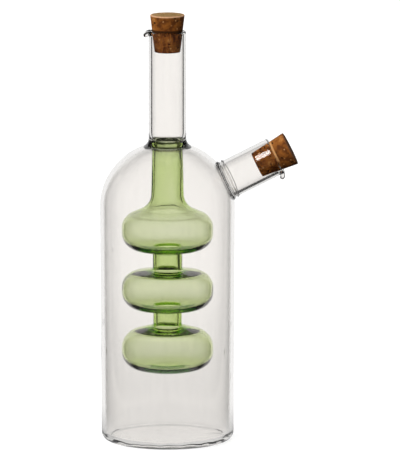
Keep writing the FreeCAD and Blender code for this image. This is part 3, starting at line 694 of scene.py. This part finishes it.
def compass(tree, way, mirrored, inset=0.0):
    """How bright the room is in a direction: the white backdrop stands behind the bottle, and beside it
    the room is dark. Light that glass mirrors still finds a wider part of it."""
    parts = tree.nodes.new("ShaderNodeSeparateXYZ")
    tree.links.new(way, parts.inputs[0])
    aside = number(tree, "SUBTRACT", number(tree, "ABSOLUTE", parts.outputs["X"]), inset)
    turn = number(tree, "ARCTAN2", number(tree, "MAXIMUM", aside, 0.0), parts.outputs["Y"])
    straight = ramp(tree, turn, *(math.radians(edge) for edge in backdrop_seen), 1.0, room_dark)
    bounced = ramp(tree, turn, *(math.radians(edge) for edge in backdrop_mirrored), 1.0, room_dark)
    return blend(tree, mirrored, straight, bounced)


# The world lights the matt corks from the left and the front. The camera and the glass see the room.
key_way, key_dark, key_bright, behind_glass = (-0.62, -0.55, 0.56), 0.06, 2.6, 1.7
key_start, key_end = -0.1, 0.95
overhead_start, overhead_end, overhead_dark = math.sin(math.radians(22)), math.sin(math.radians(48)), 0.26
world = bpy.data.worlds.new("studio")
scene.world = world
world.use_nodes = True
sky = world.node_tree
room_light, room_view = sky.nodes["Background"], sky.nodes.new("ShaderNodeBackground")
for shade in (room_light, room_view):
    shade.inputs["Color"].default_value = (1, 1, 1, 1)
sky_way = sky.nodes.new("ShaderNodeTexCoord").outputs["Generated"]
in_sky = seen(sky)
key = ramp(sky, measured(sky, "DOT_PRODUCT", sky_way, key_way), key_start, key_end, key_dark, key_bright)
key = number(sky, "MULTIPLY", key, blend(sky, in_sky["through"], 1.0, behind_glass))
sky.links.new(key, room_light.inputs["Strength"])
sky_parts = sky.nodes.new("ShaderNodeSeparateXYZ")
sky.links.new(sky_way, sky_parts.inputs[0])
overhead = ramp(sky, sky_parts.outputs["Z"], overhead_start, overhead_end, 1.0, overhead_dark)
room = number(sky, "MULTIPLY", overhead, compass(sky, sky_way, in_sky["mirrored"]))
sky.links.new(blend(sky, in_sky["straight"], room, 1.0), room_view.inputs["Strength"])
sky_choice = either(sky, in_sky["seen"], room_light.outputs[0], room_view.outputs[0])
sky.links.new(sky_choice, sky.nodes["World Output"].inputs["Surface"])

# The floor is matt paper. It shows white to the camera and takes the bottle's faint shadow. To glass its
# glow carries a painted shadow, darker near the bottle, and painted shade from steeply above, except right
# under the bottle. Glass also sees it darker beside the backdrop.
floor_size, floor_gap, floor_matt, floor_shaded, floor_white = 4.0, 0.0003, 0.15, 0.25, 0.84
near_floor, far_floor, near_bright, far_bright = 0.15, 0.55, 0.88, 1.11
under_glass, steep = (0.045, 0.06), (0.39, 0.50)
mirrored_near, beside = 0.7, (0.05, 0.14)
corners = [(x * floor_size, y * floor_size, -floor_gap) for x, y in ((-1, -1), (1, -1), (1, 1), (-1, 1))]
floor_mesh = bpy.data.meshes.new("floor")
floor_mesh.from_pydata(corners, [], [(0, 1, 2, 3)])
floor = bpy.data.objects.new("floor", floor_mesh)
scene.collection.objects.link(floor)
paper = bpy.data.materials.new("white_paper")
paper.use_nodes = True
sheet = paper.node_tree
sheet.nodes.remove(sheet.nodes["Principled BSDF"])


def matt(grey):
    """A matt grey."""
    shade = sheet.nodes.new("ShaderNodeBsdfDiffuse")
    shade.inputs["Color"].default_value = (grey, grey, grey, 1)
    return shade.outputs[0]


on_floor = seen(sheet)
floor_spot = sheet.nodes.new("ShaderNodeTexCoord").outputs["Object"]
away = measured(sheet, "LENGTH", floor_spot)
# Painted shadow: the glow that glass sees is dimmer near the bottle, and mirrored rays find it dimmer still
# close round it.
painted_shadow_falloff = ramp(sheet, away, near_floor, far_floor, near_bright, far_bright, change="LINEAR")
room = compass(sheet, floor_spot, on_floor["mirrored"], inset=body_radius + 0.012)
mirrored_room_with_shadow = blend(sheet, ramp(sheet, away, *beside), mirrored_near, room)
glow_with_painted_shadow = blend(sheet, on_floor["mirrored"], painted_shadow_falloff, mirrored_room_with_shadow)
slope = sheet.nodes.new("ShaderNodeLayerWeight")
slope.inputs["Blend"].default_value = 0.5
# Painted shade: glass sees the floor dark from steeply above, except right under the bottle.
painted_shade_from_above = ramp(sheet, slope.outputs["Facing"], *steep, room_dark, 1.0)
glow_with_painted_shadow = number(sheet, "MULTIPLY", glow_with_painted_shadow, blend(sheet, ramp(sheet, away, *under_glass), 1.0, painted_shade_from_above))
glow = sheet.nodes.new("ShaderNodeEmission")
glow.inputs["Color"].default_value = (1, 1, 1, 1)
sheet.links.new(blend(sheet, on_floor["straight"], glow_with_painted_shadow, floor_white), glow.inputs["Strength"])
shown = sheet.nodes.new("ShaderNodeAddShader")
sheet.links.new(either(sheet, on_floor["straight"], matt(0), matt(floor_shaded)), shown.inputs[0])
sheet.links.new(glow.outputs[0], shown.inputs[1])
paper_look = either(sheet, on_floor["seen"], matt(floor_matt), shown.outputs[0])
sheet.links.new(paper_look, sheet.nodes["Material Output"].inputs["Surface"])
floor_mesh.materials.append(paper)


def softbox(name, place, back, size, power, along=Vector((0, 0, 1))):
    """A lamp whose back points along one direction and whose first side lies along another."""
    lamp = bpy.data.lights.new(name, "AREA")
    lamp.shape = "RECTANGLE"
    lamp.size, lamp.size_y = size
    lamp.energy = power
    holder = bpy.data.objects.new(name, lamp)
    back = Vector(back).normalized()
    side = (along - along.dot(back) * back).normalized()
    turn = Matrix((side, back.cross(side), back)).transposed().to_4x4()
    holder.matrix_world = Matrix.Translation(place) @ turn
    holder.visible_camera = False
    holder.visible_glossy = False
    holder.visible_transmission = False
    scene.collection.objects.link(holder)
    return holder


# Two soft boxes light the corks. A small strip beside the spout lights nothing: it gives the glass over
# the cork its bright reflection.
softbox("left_box", place=(-1.0, -1.1, 1.0), back=(-1.0, -1.1, 0.87), size=(0.9, 0.5), power=7)
softbox("right_box", place=(1.2, -0.8, 0.7), back=(1.2, -0.8, 0.57), size=(0.8, 0.4), power=0.6)
strip_shift, strip_distance, strip_way = 0.003, 0.06, Vector((-0.376, -0.726, 0.576))
strip_spot = spout_start + spout_way * (spout_rim - cork_depth / 2 + strip_shift)
strip = softbox("spout_strip", strip_spot + strip_distance * strip_way, strip_way, size=(0.0125, 0.031),
                power=0.0042, along=spout_way)
strip.visible_glossy, strip.visible_diffuse = True, False
strip.data.spread = math.radians(80)

# The camera looks a little down, so that the base and the cork's top show as flat ellipses.
camera_target = Vector((0.0195, 0, 0.1283))
camera_distance, camera_pitch = 5.5, math.radians(9.7)
camera_way = Vector((0, -math.cos(camera_pitch), math.sin(camera_pitch)))
camera = bpy.data.objects.new("camera", bpy.data.cameras.new("camera"))
camera.location = camera_target + camera_distance * camera_way
camera.rotation_euler = (math.pi / 2 - camera_pitch, 0, 0)
camera.data.sensor_fit = "VERTICAL"
camera.data.sensor_height = 36
camera.data.lens = 722
camera.data.clip_end = 50
scene.collection.objects.link(camera)
scene.camera = camera
scene.view_settings.view_transform = "Standard"
scene.cycles.max_bounces = 24
scene.cycles.transmission_bounces = 24
scene.cycles.glossy_bounces = 12
